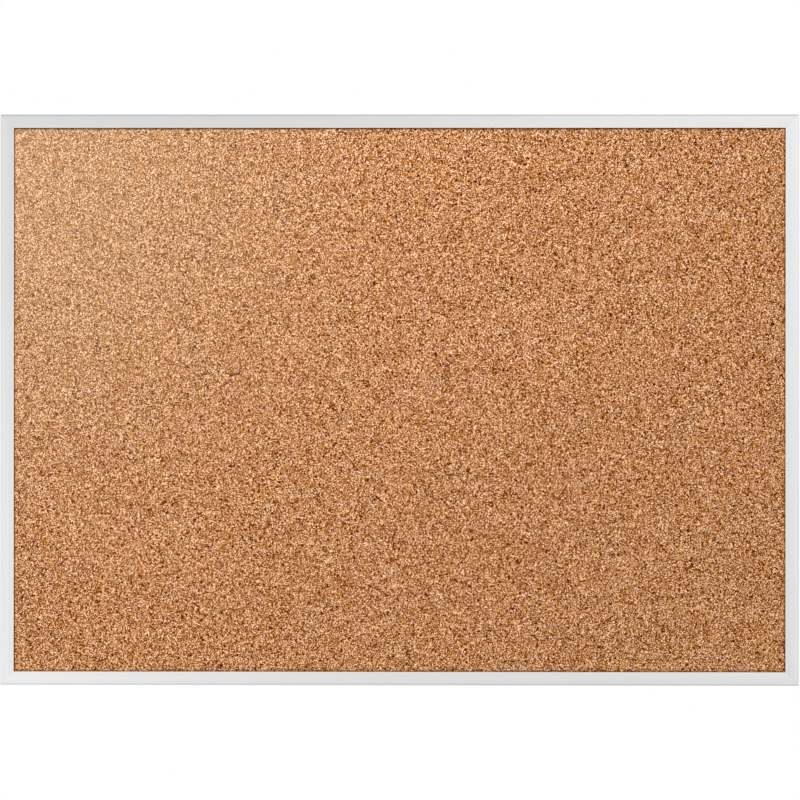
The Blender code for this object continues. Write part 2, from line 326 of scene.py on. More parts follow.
def panel(name, low, high, step, relief, faces_front):
    """A closed sheet from corner low to corner high, with a fine grid on the side that shows.

    relief(x, z) says how far that side falls back from its plane at a point.
    """
    columns = round((high.x - low.x) / step)
    rows = round((high.z - low.z) / step)
    xs = np.linspace(low.x, high.x, columns + 1)
    zs = np.linspace(low.z, high.z, rows + 1)
    grid_z, grid_x = np.meshgrid(zs, xs, indexing="ij")
    shown_y = low.y if faces_front else high.y
    hidden_y = high.y if faces_front else low.y
    inward = 1 if faces_front else -1
    grid_y = shown_y + inward * relief(grid_x, grid_z)
    points = np.stack([grid_x, grid_y, grid_z], axis=-1).reshape(-1, 3)
    index = np.arange((rows + 1) * (columns + 1)).reshape(rows + 1, columns + 1)
    quads = np.stack([index[:-1, :-1], index[:-1, 1:], index[1:, 1:], index[1:, :-1]], axis=-1)
    quads = quads.reshape(-1, 4)
    rim = np.concatenate([index[0, :-1], index[:-1, -1], index[-1, :0:-1], index[:0:-1, 0]])
    behind = points[rim].copy()
    behind[:, 1] = hidden_y
    back = np.arange(len(rim)) + len(points)
    sides = np.stack([np.roll(rim, -1), rim, back, np.roll(back, -1)], axis=-1)
    faces = [*quads.tolist(), *sides.tolist(), back[::-1].tolist()]
    if not faces_front:
        faces = [face[::-1] for face in faces]
    mesh = bpy.data.meshes.new(name)
    mesh.from_pydata(np.concatenate([points, behind]).tolist(), [], faces)
    return object_from(mesh, name)


# --- Node helpers ------------------------------------------------------------------------------------


def add(tree, kind, inputs=None, **settings):
    """A node whose inputs are linked to sockets or set to values."""
    made = tree.nodes.new(kind)
    for key, value in settings.items():
        setattr(made, key, value)
    for key, value in (inputs or {}).items():
        if isinstance(value, bpy.types.NodeSocket):
            tree.links.new(value, made.inputs[key])
        else:
            made.inputs[key].default_value = value
    return made


def calc(tree, operation, first, second=0.0, clamp=False):
    made = add(tree, "ShaderNodeMath", {0: first, 1: second}, operation=operation)
    made.use_clamp = clamp
    return made.outputs[0]


def times(tree, first, second):
    return calc(tree, "MULTIPLY", first, second)


def plus(tree, first, second):
    return calc(tree, "ADD", first, second)


def remap(tree, value, low, high, to_low=0.0, to_high=1.0, soft=False):
    """Maps low..high to to_low..to_high, held at both ends."""
    inputs = {"Value": value, "From Min": low, "From Max": high, "To Min": to_low, "To Max": to_high}
    kind = "SMOOTHSTEP" if soft else "LINEAR"
    return add(tree, "ShaderNodeMapRange", inputs, interpolation_type=kind).outputs["Result"]


def scaled(tree, place, factors):
    return add(tree, "ShaderNodeVectorMath", {0: place, 1: factors}, operation="MULTIPLY").outputs[0]


def shifted(tree, place, offset):
    return add(tree, "ShaderNodeVectorMath", {0: place, 1: offset}, operation="ADD").outputs[0]


def length_of(tree, vector):
    return add(tree, "ShaderNodeVectorMath", {0: vector}, operation="LENGTH").outputs["Value"]


def parts_of(tree, vector):
    return add(tree, "ShaderNodeSeparateXYZ", {0: vector}).outputs


def clouds(tree, place, size, detail=2.0, roughness=0.5):
    """Noise about 0.5, with blobs of about size millimetres."""
    inputs = {"Vector": place, "Scale": 1 / size, "Detail": detail, "Roughness": roughness}
    return add(tree, "ShaderNodeTexNoise", inputs).outputs["Fac"]


def cells(tree, place, size, feature="F1"):
    return add(tree, "ShaderNodeTexVoronoi", {"Vector": place, "Scale": 1 / size}, feature=feature)


def ramp(tree, value, stops):
    """A colour for value from (place, colour) stops."""
    made = add(tree, "ShaderNodeValToRGB", {"Fac": value})
    elements = made.color_ramp.elements
    while len(elements) < len(stops):
        elements.new(0.5)
    for element, (place, colour) in zip(elements, stops):
        element.position = place
        element.color = (*colour, 1.0)
    return made.outputs["Color"]


def mixed(tree, amount, first, second, blend="MIX"):
    made = add(tree, "ShaderNodeMix", data_type="RGBA", blend_type=blend)
    for key, value in ((0, amount), (6, first), (7, second)):
        if isinstance(value, bpy.types.NodeSocket):
            tree.links.new(value, made.inputs[key])
        elif key == 0:
            made.inputs[key].default_value = value
        else:
            made.inputs[key].default_value = (*value, 1.0)
    return made.outputs[2]


def tinted(tree, colour, tint):
    return mixed(tree, 1.0, colour, tint, "MULTIPLY")


def bumped(tree, height, distance, strength):
    inputs = {"Height": height, "Distance": distance, "Strength": strength}
    return add(tree, "ShaderNodeBump", inputs).outputs["Normal"]


def new_material(name, **constants):
    """A material, its tree and its shader, whose uniform values are set on their own sockets."""
    made = bpy.data.materials.new(name)
    made.use_nodes = True
    shader = made.node_tree.nodes["Principled BSDF"]
    for key, value in constants.items():
        shader.inputs[key.replace("_", " ")].default_value = value
    return made, made.node_tree, shader


def set_shader(tree, shader, **sockets):
    for key, socket in sockets.items():
        tree.links.new(socket, shader.inputs[key.replace("_", " ")])


def in_millimetres(tree):
    place = add(tree, "ShaderNodeTexCoord").outputs["Object"]
    return scaled(tree, place, (PER_METRE,) * 3)


# --- Cork --------------------------------------------------------------------------------------------


def one_of(tree, texture, channel):
    """One channel of a cell texture's random colour, a number that is the same all over a cell."""
    return parts_of(tree, texture.outputs["Color"])[channel]


def weighted(tree, *terms):
    """The sum of each value times its weight."""
    total = 0.0
    for value, weight in terms:
        total = plus(tree, times(tree, value, weight), total)
    return total


def beside_lip(tree, place):
    """1 where the cork meets the rails' lips, falling to 0 over the width of cork that they press down.
    The same strip carries painted shade from the lips.
    """
    parts = parts_of(tree, place)
    across = calc(tree, "SUBTRACT", OPENING_HALF.x * PER_METRE, calc(tree, "ABSOLUTE", parts[0]))
    up = calc(tree, "SUBTRACT", OPENING_HALF.z * PER_METRE, calc(tree, "ABSOLUTE", parts[2]))
    return remap(tree, calc(tree, "MINIMUM", across, up), 0.0, PRESSED_AND_SHADED_WIDTH, 1.0, 0.0, soft=True)


def cork_grain(tree, place):
    """Height (0 deep to 1 high) and tone (0 dark to 1 pale) of pressed cork, place in millimetres.

    Granules of several sizes lie packed together, with dark crevices and a few deep pits between them.
    A few of the medium ones are dark bark.
    """
    flat = scaled(tree, place, (1.0, 0.0, 1.0))
    drift = add(tree, "ShaderNodeTexNoise", {"Vector": flat, "Scale": 1.1, "Detail": 1.0})
    drift = scaled(tree, shifted(tree, drift.outputs["Color"], (-0.5,) * 3), (0.9, 0.0, 0.9))
    warped = shifted(tree, flat, drift)
    other = shifted(tree, warped, (31.0, 7.0, 12.0))
    coarse = cells(tree, warped, COARSE_GRANULE)
    coarse_edge = cells(tree, warped, COARSE_GRANULE, "DISTANCE_TO_EDGE").outputs["Distance"]
    medium = cells(tree, other, MEDIUM_GRANULE)
    medium_edge = cells(tree, other, MEDIUM_GRANULE, "DISTANCE_TO_EDGE").outputs["Distance"]
    ragged = add(tree, "ShaderNodeTexNoise", {"Vector": flat, "Scale": 3.5, "Detail": 1.0})
    ragged = scaled(tree, shifted(tree, ragged.outputs["Color"], (-0.5,) * 3), (0.55, 0.0, 0.55))
    fine = cells(tree, shifted(tree, shifted(tree, flat, ragged), (5.0, 3.0, 9.0)), FINE_GRANULE)
    coarse_tone = one_of(tree, coarse, 0)
    medium_tone = one_of(tree, medium, 0)
    fine_tone = calc(tree, "POWER", one_of(tree, fine, 1), 0.7)

    open_joint = remap(tree, clouds(tree, flat, 4.0), 0.40, 0.60, 0.3, 1.0)
    crevice = remap(tree, medium_edge, 0.02, 0.20, 1.0, 0.0, soft=True)
    crevice = times(tree, crevice, open_joint)
    coarse_crevice = remap(tree, coarse_edge, 0.01, 0.10, 1.0, 0.0, soft=True)
    pit = remap(tree, clouds(tree, shifted(tree, flat, (17.0, 0.0, 40.0)), 1.15, 1.0), 0.63, 0.70)
    dome = remap(tree, medium_edge, 0.0, 0.42, 0.0, 1.0, soft=True)
    blotch = clouds(tree, flat, 7.0, 3.0)
    height = weighted(tree, (dome, 0.42), (coarse_tone, 0.28), (medium_tone, 0.30),
                      (coarse_crevice, -0.25), (pit, -0.7))
    height = remap(tree, height, 0.0, 1.0)
    tone = weighted(tree, (medium_tone, 0.08), (fine_tone, 1.06), (coarse_tone, 0.02), (blotch, 0.05),
                    (crevice, -0.22), (coarse_crevice, -0.06), (pit, -0.75))
    # Beside the lips the cork is pressed lower, and its tone is darkened there as painted shade cast by
    # the lips.
    pressed_and_shaded = beside_lip(tree, place)
    height = calc(tree, "SUBTRACT", height, times(tree, pressed_and_shaded, 0.5), clamp=True)
    tone = calc(tree, "SUBTRACT", tone, times(tree, pressed_and_shaded, LIP_SHADE_TONE))
    bark = remap(tree, one_of(tree, medium, 1), 0.95, 0.97)
    tone = times(tree, tone, remap(tree, bark, 0.0, 1.0, 1.0, BARK_TONE))
    return height, tone


def cork_relief(made):
    """Moves the front's points back by the granules' height, in from the sheet's front plane."""
    tree = bpy.data.node_groups.new("cork_relief", "GeometryNodeTree")
    tree.interface.new_socket("Geometry", in_out="INPUT", socket_type="NodeSocketGeometry")
    tree.interface.new_socket("Geometry", in_out="OUTPUT", socket_type="NodeSocketGeometry")
    start = tree.nodes.new("NodeGroupInput")
    end = tree.nodes.new("NodeGroupOutput")
    position = tree.nodes.new("GeometryNodeInputPosition").outputs[0]
    place = scaled(tree, position, (PER_METRE,) * 3)
    height, _tone = cork_grain(tree, place)
    depth = times(tree, calc(tree, "SUBTRACT", 1.0, height), CORK_RELIEF)
    offset = add(tree, "ShaderNodeCombineXYZ", {1: depth}).outputs[0]
    on_front = calc(tree, "LESS_THAN", parts_of(tree, position)[1], CORK_LOW.y + WELD)
    inputs = {"Geometry": start.outputs[0], "Selection": on_front, "Offset": offset}
    move = add(tree, "GeometryNodeSetPosition", inputs)
    tree.links.new(move.outputs[0], end.inputs[0])
    made.modifiers.new("relief", "NODES").node_group = tree
    return applied(made)


def cork_material():
    """Granules from dark bark to pale cork, rough, with a painted sheen that makes it a little paler
    towards the top left corner.
    """
    made, tree, shader = new_material("granulated_cork", Specular_IOR_Level=0.03)
    place = in_millimetres(tree)
    height, tone = cork_grain(tree, place)
    colour = ramp(tree, remap(tree, tone, 0.08, 1.02), [
        (0.00, (0.060, 0.007, 0.000)),
        (0.20, (0.126, 0.020, 0.000)),
        (0.42, (0.238, 0.070, 0.003)),
        (0.60, (0.366, 0.150, 0.031)),
        (0.80, (0.522, 0.265, 0.111)),
        (1.00, (0.740, 0.508, 0.350)),
    ])
    warm = remap(tree, clouds(tree, place, 22.0, 2.0), 0.35, 0.65)
    colour = tinted(tree, colour, mixed(tree, warm, (1.01, 1.01, 1.03), (0.99, 1.02, 1.08)))
    # Painted sheen: the cork is mixed towards a pale tan near its top left corner, where the key lamp's
    # sheen falls.
    from_corner = shifted(tree, place, (-CORK_LOW.x * PER_METRE, 0.0, -CORK_HIGH.z * PER_METRE))
    away = length_of(tree, scaled(tree, from_corner, (0.85, 0.0, 0.75)))
    painted_sheen = remap(tree, away, 0.0, PAINTED_SHEEN_REACH, 0.22, 0.0, soft=True)
    colour = mixed(tree, painted_sheen, colour, (0.40, 0.33, 0.21))
    fibres = clouds(tree, place, 0.35, 3.0, 0.7)
    colour = tinted(tree, colour, ramp(tree, fibres, [(0.36, (0.72,) * 3), (0.60, (1.16,) * 3)]))
    relief = plus(tree, height, times(tree, fibres, 0.35))
    set_shader(tree, shader, Base_Color=colour,
               Roughness=remap(tree, height, 0.1, 1.0, 0.9, 0.6),
               Normal=bumped(tree, relief, 0.25 * MM, 0.6))
    return made


# --- Other materials ---------------------------------------------------------------------------------


def aluminium_material():
    """Satin anodised extrusion: fine die lines along each rail, soft cloudiness and small dents."""
    made, tree, shader = new_material("satin_aluminium", Metallic=1.0)
    place = add(tree, "ShaderNodeAttribute", attribute_name="rail_place").outputs["Vector"]
    # Painted light and shade: a tone per point that makes each rail lighter or darker along it and at
    # its outer edge.
    tone = add(tree, "ShaderNodeAttribute", attribute_name="painted_light_tone").outputs["Fac"]
    lines = clouds(tree, scaled(tree, place, (1.0, 1.0, 0.004)), 0.28, 3.0, 0.65)
    wide_lines = clouds(tree, scaled(tree, place, (1.0, 1.0, 0.002)), 1.6, 2.0)
    patches = clouds(tree, scaled(tree, place, (1.0, 1.0, 0.25)), 14.0, 3.0)
    grain = clouds(tree, place, 0.12, 2.0, 0.7)
    scuffs = clouds(tree, scaled(tree, place, (1.0, 1.0, 0.05)), 0.7, 2.0)
    scuffs = times(tree, remap(tree, scuffs, 0.66, 0.76), remap(tree, patches, 0.5, 0.7))
    edge = add(tree, "ShaderNodeNewGeometry").outputs["Pointiness"]
    worn = remap(tree, edge, 0.52, 0.60)
    level = times(tree, remap(tree, lines, 0.3, 0.7, 0.965, 1.03), tone)
    level = times(tree, level, remap(tree, wide_lines, 0.3, 0.7, 0.985, 1.015))
    level = times(tree, level, remap(tree, patches, 0.3, 0.7, 0.985, 1.012))
    level = plus(tree, level, times(tree, worn, 0.03))
    inner_edge = RAIL_FACE * PER_METRE
    # Painted highlight: the face is made lighter along the lip's inner edge, where its rounded nose
    # catches the light.
    painted_lip_highlight = remap(tree, parts_of(tree, place)[0], inner_edge - 1.1, inner_edge - 0.5, 1.0, 1.16)
    level = calc(tree, "MINIMUM", times(tree, level, painted_lip_highlight), BRIGHTEST_TONE)
    grey = add(tree, "ShaderNodeCombineXYZ", {0: level, 1: level, 2: level}).outputs[0]
    colour = tinted(tree, (0.806, 0.809, 0.814), grey)
    roughness = remap(tree, lines, 0.3, 0.7, 0.31, 0.40)
    roughness = plus(tree, roughness, times(tree, scuffs, -0.06))
    roughness = plus(tree, roughness, remap(tree, grain, 0.3, 0.7, -0.02, 0.02))
    height = plus(tree, lines, times(tree, grain, 0.35))
    set_shader(tree, shader, Base_Color=colour, Roughness=roughness,
               Normal=bumped(tree, height, 0.004 * MM, 0.8))
    return made


def kraft_material():
    """Brown kraft paper: fibres lying at all angles, flecks of bark and a mottled tone."""
    made, tree, shader = new_material("kraft_paper", Specular_IOR_Level=0.3, Sheen_Weight=0.15)
    place = in_millimetres(tree)
    swirl = add(tree, "ShaderNodeTexNoise", {"Vector": place, "Scale": 0.35, "Detail": 2.0})
    swirl = scaled(tree, shifted(tree, swirl.outputs["Color"], (-0.5,) * 3), (5.0,) * 3)
    bent = shifted(tree, place, swirl)
    level_fibres = clouds(tree, scaled(tree, bent, (0.12, 1.0, 1.0)), 0.45, 2.0, 0.6)
    upright_fibres = clouds(tree, scaled(tree, bent, (1.0, 1.0, 0.12)), 0.45, 2.0, 0.6)
    fibres = calc(tree, "MAXIMUM", level_fibres, upright_fibres)
    mottle = remap(tree, clouds(tree, place, 9.0, 4.0, 0.6), 0.0, 1.0, 0.3, 0.7)
    flecks = remap(tree, clouds(tree, scaled(tree, bent, (0.35, 1.0, 1.0)), 0.8, 1.0), 0.70, 0.78)
    tone = plus(tree, times(tree, fibres, 0.7), times(tree, mottle, 0.4))
    colour = ramp(tree, tone, [
        (0.38, (0.235, 0.140, 0.070)),
        (0.55, (0.330, 0.210, 0.115)),
        (0.75, (0.440, 0.300, 0.180)),
    ])
    colour = mixed(tree, times(tree, flecks, 0.6), colour, (0.10, 0.050, 0.022))
    height = plus(tree, fibres, times(tree, mottle, 0.8))
    set_shader(tree, shader, Base_Color=colour, Roughness=remap(tree, fibres, 0.4, 0.8, 0.92, 0.74),
               Normal=bumped(tree, height, 0.05 * MM, 0.7))
    return made


def fibreboard_material():
    """Pressed wood fibre, open and matted."""
    made, tree, shader = new_material("fibreboard", Specular_IOR_Level=0.25)
    place = in_millimetres(tree)
    mat = clouds(tree, scaled(tree, place, (0.3, 1.6, 1.0)), 0.7, 4.0, 0.7)
    flakes = cells(tree, scaled(tree, place, (0.6, 2.0, 1.0)), 1.5).outputs["Distance"]
    colour = ramp(tree, mat, [
        (0.30, (0.120, 0.065, 0.030)),
        (0.52, (0.270, 0.165, 0.085)),
        (0.72, (0.420, 0.290, 0.170)),
    ])
    height = plus(tree, mat, times(tree, flakes, 0.5))
    set_shader(tree, shader, Base_Color=colour, Roughness=remap(tree, mat, 0.3, 0.7, 0.95, 0.82),
               Normal=bumped(tree, height, 0.15 * MM, 0.8))
    return made


def zinc_material():
    """Zinc-plated steel: faint rolling lines, a clouded plating and brighter worn edges."""
    made, tree, shader = new_material("zinc_plated_steel", Metallic=1.0)
    place = in_millimetres(tree)
    cloud = clouds(tree, place, 3.5, 4.0, 0.6)
    rolled = clouds(tree, scaled(tree, place, (1.0, 1.0, 0.03)), 0.22, 2.0, 0.6)
    spangle = one_of(tree, cells(tree, place, 1.1), 0)
    worn = remap(tree, add(tree, "ShaderNodeNewGeometry").outputs["Pointiness"], 0.52, 0.62)
    tone = plus(tree, times(tree, cloud, 0.7), times(tree, spangle, 0.3))
    colour = ramp(tree, tone, [
        (0.25, (0.400, 0.410, 0.420)),
        (0.50, (0.520, 0.530, 0.540)),
        (0.75, (0.640, 0.635, 0.610)),
    ])
    colour = mixed(tree, times(tree, worn, 0.5), colour, (0.78, 0.79, 0.80))
    roughness = remap(tree, cloud, 0.3, 0.7, 0.40, 0.26)
    roughness = plus(tree, roughness, remap(tree, rolled, 0.3, 0.7, -0.04, 0.05))
    height = plus(tree, rolled, times(tree, cloud, 1.5))
    set_shader(tree, shader, Base_Color=colour, Roughness=roughness,
               Normal=bumped(tree, height, 0.012 * MM, 0.8))
    return made


def rubber_material():
    """Cloudy grey rubber with a fine moulded grain and dust in its hollows."""
    made, tree, shader = new_material("grey_rubber", Specular_IOR_Level=0.45, Subsurface_Weight=0.15,
                                      Subsurface_Scale=0.4 * MM)
    place = in_millimetres(tree)
    mottle = clouds(tree, place, 1.8, 3.0)
    grain = clouds(tree, place, 0.12, 2.0, 0.6)
    dust = remap(tree, clouds(tree, place, 0.5, 3.0, 0.7), 0.55, 0.75)
    colour = ramp(tree, mottle, [(0.3, (0.300, 0.305, 0.310)), (0.7, (0.420, 0.420, 0.415))])
    colour = mixed(tree, times(tree, dust, 0.25), colour, (0.55, 0.53, 0.50))
    roughness = remap(tree, mottle, 0.3, 0.7, 0.38, 0.50)
    roughness = plus(tree, roughness, times(tree, dust, 0.2))
    set_shader(tree, shader, Base_Color=colour, Roughness=roughness,
               Normal=bumped(tree, grain, 0.02 * MM, 0.7))
    return made


# --- Rails -------------------------------------------------------------------------------------------


def dress(made, node, finish, body="board"):
    """Gives a piece its material, hides the CAD node it stands for, and attaches it to the body that
    carries it.
    """
    made.data.materials.clear()
    made.data.materials.append(finish)
    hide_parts(node)
    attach(made, body)


def rail_section():
    """The extrusion's outline in (u, v), with a slightly crowned face and every corner rounded."""
    middle = RAIL_FACE / 2
    crown_radius = CROWN_REACH / FACE_SLOPE
    sides = FACE_SLOPE * (middle - CROWN_REACH / 2)
    bead_start = SHELF_END - BEAD
    bead_back = TRACK_FRONT + BEAD
    return rounded([
        (0, sides, FACE_RADIUS),
        (middle, -FACE_SLOPE * CROWN_REACH / 2, crown_radius),
        (RAIL_FACE, sides, NOSE_RADIUS),
        (RAIL_FACE, LIP_BACK, OUTER_CORNER),
        (RAIL_WALL, LIP_BACK, INNER_CORNER),
        (RAIL_WALL, SHELF_FRONT, INNER_CORNER),
        (SHELF_END, SHELF_FRONT, OUTER_CORNER),
        (SHELF_END, bead_back, OUTER_CORNER),
        (bead_start, bead_back, OUTER_CORNER),
        (bead_start, TRACK_FRONT, OUTER_CORNER),
        (RAIL_WALL, TRACK_FRONT, INNER_CORNER),
        (RAIL_WALL, TRACK_BACK, INNER_CORNER),
        (SHELF_END, TRACK_BACK, OUTER_CORNER),
        (SHELF_END, RAIL_DEPTH, OUTER_CORNER),
        (0, RAIL_DEPTH, BACK_RADIUS),
    ])


def rail_mesh(name, length):
    """One mitred rail: u is +X, v is +Y, its length is Z."""
    section = rail_section()

    def ring(outline, station, cut_back):
        return [(u, v, station * (length / 2 - MITRE_GAP - cut_back - u)) for u, v in outline]

    end = inset(section, MITRE_BEVEL)
    rings = [ring(end, -1, 0)]
    rings += [ring(section, station, MITRE_BEVEL) for station in np.linspace(-1, 1, RAIL_STATIONS)]
    rings.append(ring(end, 1, 0))
    return lofted(rings, name)


def record_place(mesh, matrix, length, painted_shade_along, painted_shade_outside):
    """Stores each point's place in the rail's own axes, in millimetres, and the painted light and shade
    of its colour as a tone.
    """
    count = len(mesh.vertices)
    points = np.ones((count, 4))
    flat = np.zeros(count * 3)
    mesh.vertices.foreach_get("co", flat)
    points[:, :3] = flat.reshape(-1, 3)
    place = (points @ np.array(matrix.inverted()).T)[:, :3]
    # Painted light and shade along the rail, then at its outer rounding and its face's edge.
    tone = np.interp(place[:, 2] / (length / 2), np.linspace(-1, 1, len(painted_shade_along)), painted_shade_along)
    tone *= np.interp(place[:, 0], [0, FACE_RADIUS, RAIL_FACE], [*painted_shade_outside, 1])
    own_axes = mesh.attributes.new("rail_place", "FLOAT_VECTOR", "POINT")
    own_axes.data.foreach_set("vector", place.ravel() * PER_METRE)
    mesh.attributes.new("painted_light_tone", "FLOAT", "POINT").data.foreach_set("value", tone)


def drill_screw_holes(rail, low, high):
    """Cuts a hole in the rear lip for each screw that stands in the rail's box."""
    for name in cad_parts:
        if not name.startswith("key_screw"):
            continue
        screw_low, screw_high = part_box(name)
        middle = (screw_low + screw_high) / 2
        if low.x < middle.x < high.x and low.z < middle.z < high.z:
            reach = TRACK_BACK - TRACK_FRONT
            profile = [(0, reach), (SHANK_HOLE, reach), (SHANK_HOLE, -reach), (0, -reach)]
            drill = turned(profile, 32, "drill")
            combine(rail, "DIFFERENCE", placed(drill, (middle.x, high.y, middle.z), TOWARDS_WALL))


def add_rail(side, quarter_turns, painted_shade_along, painted_shade_outside, finish):
    """One rail, with the painted light and shade of its colour listed along it, and at its outer side
    and at its face's edge.
    """
    node = f"frame_rail_{side}"
    low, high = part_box(node)
    horizontal = high.x - low.x > high.z - low.z
    length = BOARD_WIDTH if horizontal else BOARD_HEIGHT
    from_middle = (BOARD_HEIGHT if horizontal else BOARD_WIDTH) / 2
    turn = Matrix.Rotation(quarter_turns * pi / 2, 4, "Y")
    matrix = turn @ Matrix.Translation((-from_middle, FRONT, 0))
    rail = object_from(rail_mesh(f"aluminium_{node}", length), f"aluminium_{node}")
    rail.data.transform(matrix)
    drill_screw_holes(rail, low, high)
    applied(rail)
    smooth(rail.data, 35)
    flat_faces(rail)
    record_place(rail.data, matrix, length, painted_shade_along, painted_shade_outside)
    dress(rail, node, finish)


def add_rails():
    """Painted light and shade: each rail's colour is lighter or darker along it and at its outer edge,
    as the lamps fall on it. The turns start from the left rail.
    """
    finish = aluminium_material()
    add_rail("left", 0, (1.08, 1.05, 1.00, 0.945, 0.92), (1.08, 1.08), finish)
    add_rail("top", 1, (0.92, 0.90, 0.965, 1.055, 1.09), (1.0, 1.0), finish)
    add_rail("right", 2, (1.055, 1.035, 1.01, 0.965, 0.94), (1.09, 1.09), finish)
    add_rail("bottom", 3, (1.00, 0.97, 0.98, 1.03, 1.13), (0.84, 1.08), finish)


# --- Panel -------------------------------------------------------------------------------------------


def flat_map(made, low, high):
    """A texture map that lays the sheet's front out whole."""
    layer = made.data.uv_layers.new(name="OFBake")
    count = len(made.data.loops)
    corner = np.zeros(count, np.int32)
    made.data.loops.foreach_get("vertex_index", corner)
    place = np.zeros(len(made.data.vertices) * 3)
    made.data.vertices.foreach_get("co", place)
    place = place.reshape(-1, 3)[corner]
    across = (place[:, 0] - low.x) / (high.x - low.x)
    up = (place[:, 2] - low.z) / (high.z - low.z)
    layer.data.foreach_set("uv", np.stack([across, up], axis=-1).ravel())


def add_cork():
    cork = panel("cork_panel", CORK_LOW, CORK_HIGH, CORK_STEP, lambda x, z: 0 * x, True)
    cork_relief(cork)
    cork.data.shade_smooth()
    cork.data.set_sharp_from_angle(angle=radians(80))
    flat_map(cork, CORK_LOW, CORK_HIGH)
    dress(cork, "cork_sheet", cork_material())


def pucker(x, z):
    """Shallow hollows where the backing paper's glue has pulled."""
    waves = ((38, 11, 0.3), (-17, 43, 1.9), (61, -52, 4.0), (29, 73, 2.7), (-83, 24, 5.1))
    total = sum(np.sin(x * across + z * up + start) for across, up, start in waves)
    return PUCKER_DEPTH * (0.5 + total / (2 * len(waves)))


def add_backing():
    backing = panel("kraft_backing", BACKING_LOW, BACKING_HIGH, BACKING_STEP, pucker, False)
    smooth(backing.data, 60)
    dress(backing, "backing_sheet", kraft_material())


def finish_node(node, finish):
    """A better material for a CAD node that stays."""
    for material_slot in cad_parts[node].material_slots:
        material_slot.material = finish


# --- Screws, bumpers, hangers ------------------------------------------------------------------------


def blade(turn):
    """One tapered wing of a cross recess, its mouth at Z = 0."""
    work = bmesh.new()
    bmesh.ops.create_cube(work, size=1.0)
    bmesh.ops.scale(work, vec=(RECESS_SPAN, RECESS_WIDTH, 2 * RECESS_DEPTH), verts=work.verts)
    for corner in work.verts:
        if corner.co.z < 0:
            corner.co.x *= 0.45
            corner.co.y *= 0.60
    mesh = bpy.data.meshes.new("blade")
    work.to_mesh(mesh)
    work.free()
    mesh.transform(Matrix.Rotation(turn, 4, "Z"))
    return object_from(mesh, "blade")


def screw_profile(shank):
    """A crowned pan head whose underside is at Z = 0, over a shank with thread ridges."""
    edge = 0.65 * MM
    crown = 0.08 * MM
    burr = 0.12 * MM
    thread_depth = 0.28 * MM
    point = 0.5 * MM
    head_edge = (SCREW_HEAD_RADIUS - edge, SCREW_HEAD_HEIGHT - edge - crown)
    profile = [(0, SCREW_HEAD_HEIGHT), (0.4 * SCREW_HEAD_RADIUS, SCREW_HEAD_HEIGHT - crown / 4)]
    profile += arc(head_edge, edge, 82, 0, 10)
    profile += [(SCREW_HEAD_RADIUS, burr), (SCREW_HEAD_RADIUS - burr, 0), (SCREW_SHANK_RADIUS, 0)]
    for thread in range(1, int(shank / SCREW_PITCH)):
        down = -thread * SCREW_PITCH
        profile.append((SCREW_SHANK_RADIUS - thread_depth, down + SCREW_PITCH / 4))
        profile.append((SCREW_SHANK_RADIUS, down))
    return profile + [(SCREW_SHANK_RADIUS - point, -shank + point / 5), (0, -shank)]


def add_screw(node, turn, finish):
    low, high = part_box(node)
    shank = high.y - SCREW_HEAD_HEIGHT - low.y
    screw = turned(screw_profile(shank), 48, f"pan_{node}")
    for quarter in (0, pi / 2):
        combine(screw, "DIFFERENCE", placed(blade(quarter), (0, 0, SCREW_HEAD_HEIGHT)))
    applied(screw)
    applied(bevelled(screw, 0.04 * MM, 2, 50))
    smooth(welded(screw.data), 35)
    screw.data.transform(Matrix.Rotation(turn, 4, "Z"))
    middle = (low + high) / 2
    placed(screw, (middle.x, high.y - SCREW_HEAD_HEIGHT, middle.z), TOWARDS_WALL)
    dress(screw, node, finish)


def add_screws(finish):
    """Each screw was driven home at its own angle."""
    for i, node in enumerate(sorted(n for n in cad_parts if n.startswith("key_screw"))):
        add_screw(node, radians(23 + 37 * i), finish)


def bumper_profile(radius, height):
    """A skirt, a dome over it, and a contact face that is slightly hollow in its middle."""
    skirt = 0.4 * MM
    hollow = 0.06 * MM
    edge = 0.1 * MM
    profile = [(0, height - hollow), (0.7 * BUMPER_FLAT_RADIUS, height - hollow)]
    for angle in np.linspace(0, pi / 2, 16):
        across = BUMPER_FLAT_RADIUS + (radius - BUMPER_FLAT_RADIUS) * sin(angle)
        profile.append((across, skirt + (height - skirt) * cos(angle)))
    return profile + [(radius, edge), (radius - edge, 0), (0, 0)]


def add_bumpers():
    finish = rubber_material()
    for node in sorted(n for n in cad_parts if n.startswith("wall_bumper")):
        low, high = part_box(node)
        profile = bumper_profile((high.x - low.x) / 2, high.y - low.y)
        bumper = turned(profile, 64, f"domed_{node}")
        smooth(bumper.data, 40)
        middle = (low + high) / 2
        placed(bumper, (middle.x, low.y, middle.z), TOWARDS_WALL)
        dress(bumper, node, finish)


def keyhole():
    """A round opening for the wall screw's head with a slot above it, as one outline."""
    meet = degrees(acos(SLOT_RADIUS / KEYHOLE_RADIUS))
    opening = arc((0, -KEYHOLE_DOWN), KEYHOLE_RADIUS, 180 - meet, 360 + meet, 48)
    return opening + arc((0, -SLOT_TOP_DOWN), SLOT_RADIUS, 0, 180, 24)


def hem(half_width, depth, top):
    """The plate's top edge, folded forward and down by depth, with its ends eased."""
    reach = depth - HEM_INSET
    section = rounded([
        (0, 0, 0.3 * MM),
        (reach, 0, 1.0 * MM),
        (reach, HEM_HEIGHT, 0.5 * MM),
        (0, HEM_HEIGHT, 0.3 * MM),
    ])
    end = inset(section, HEM_BEVEL)
    stations = [(-half_width, end), (-half_width + HEM_BEVEL, section)]
    stations += [(half_width - HEM_BEVEL, section), (half_width, end)]
    back = HANGER_SHEET / 2 - HEM_INSET
    rings = [[(x, top - down, forward - back) for forward, down in outline] for x, outline in stations]
    return object_from(lofted(rings, "hem"), "hem")


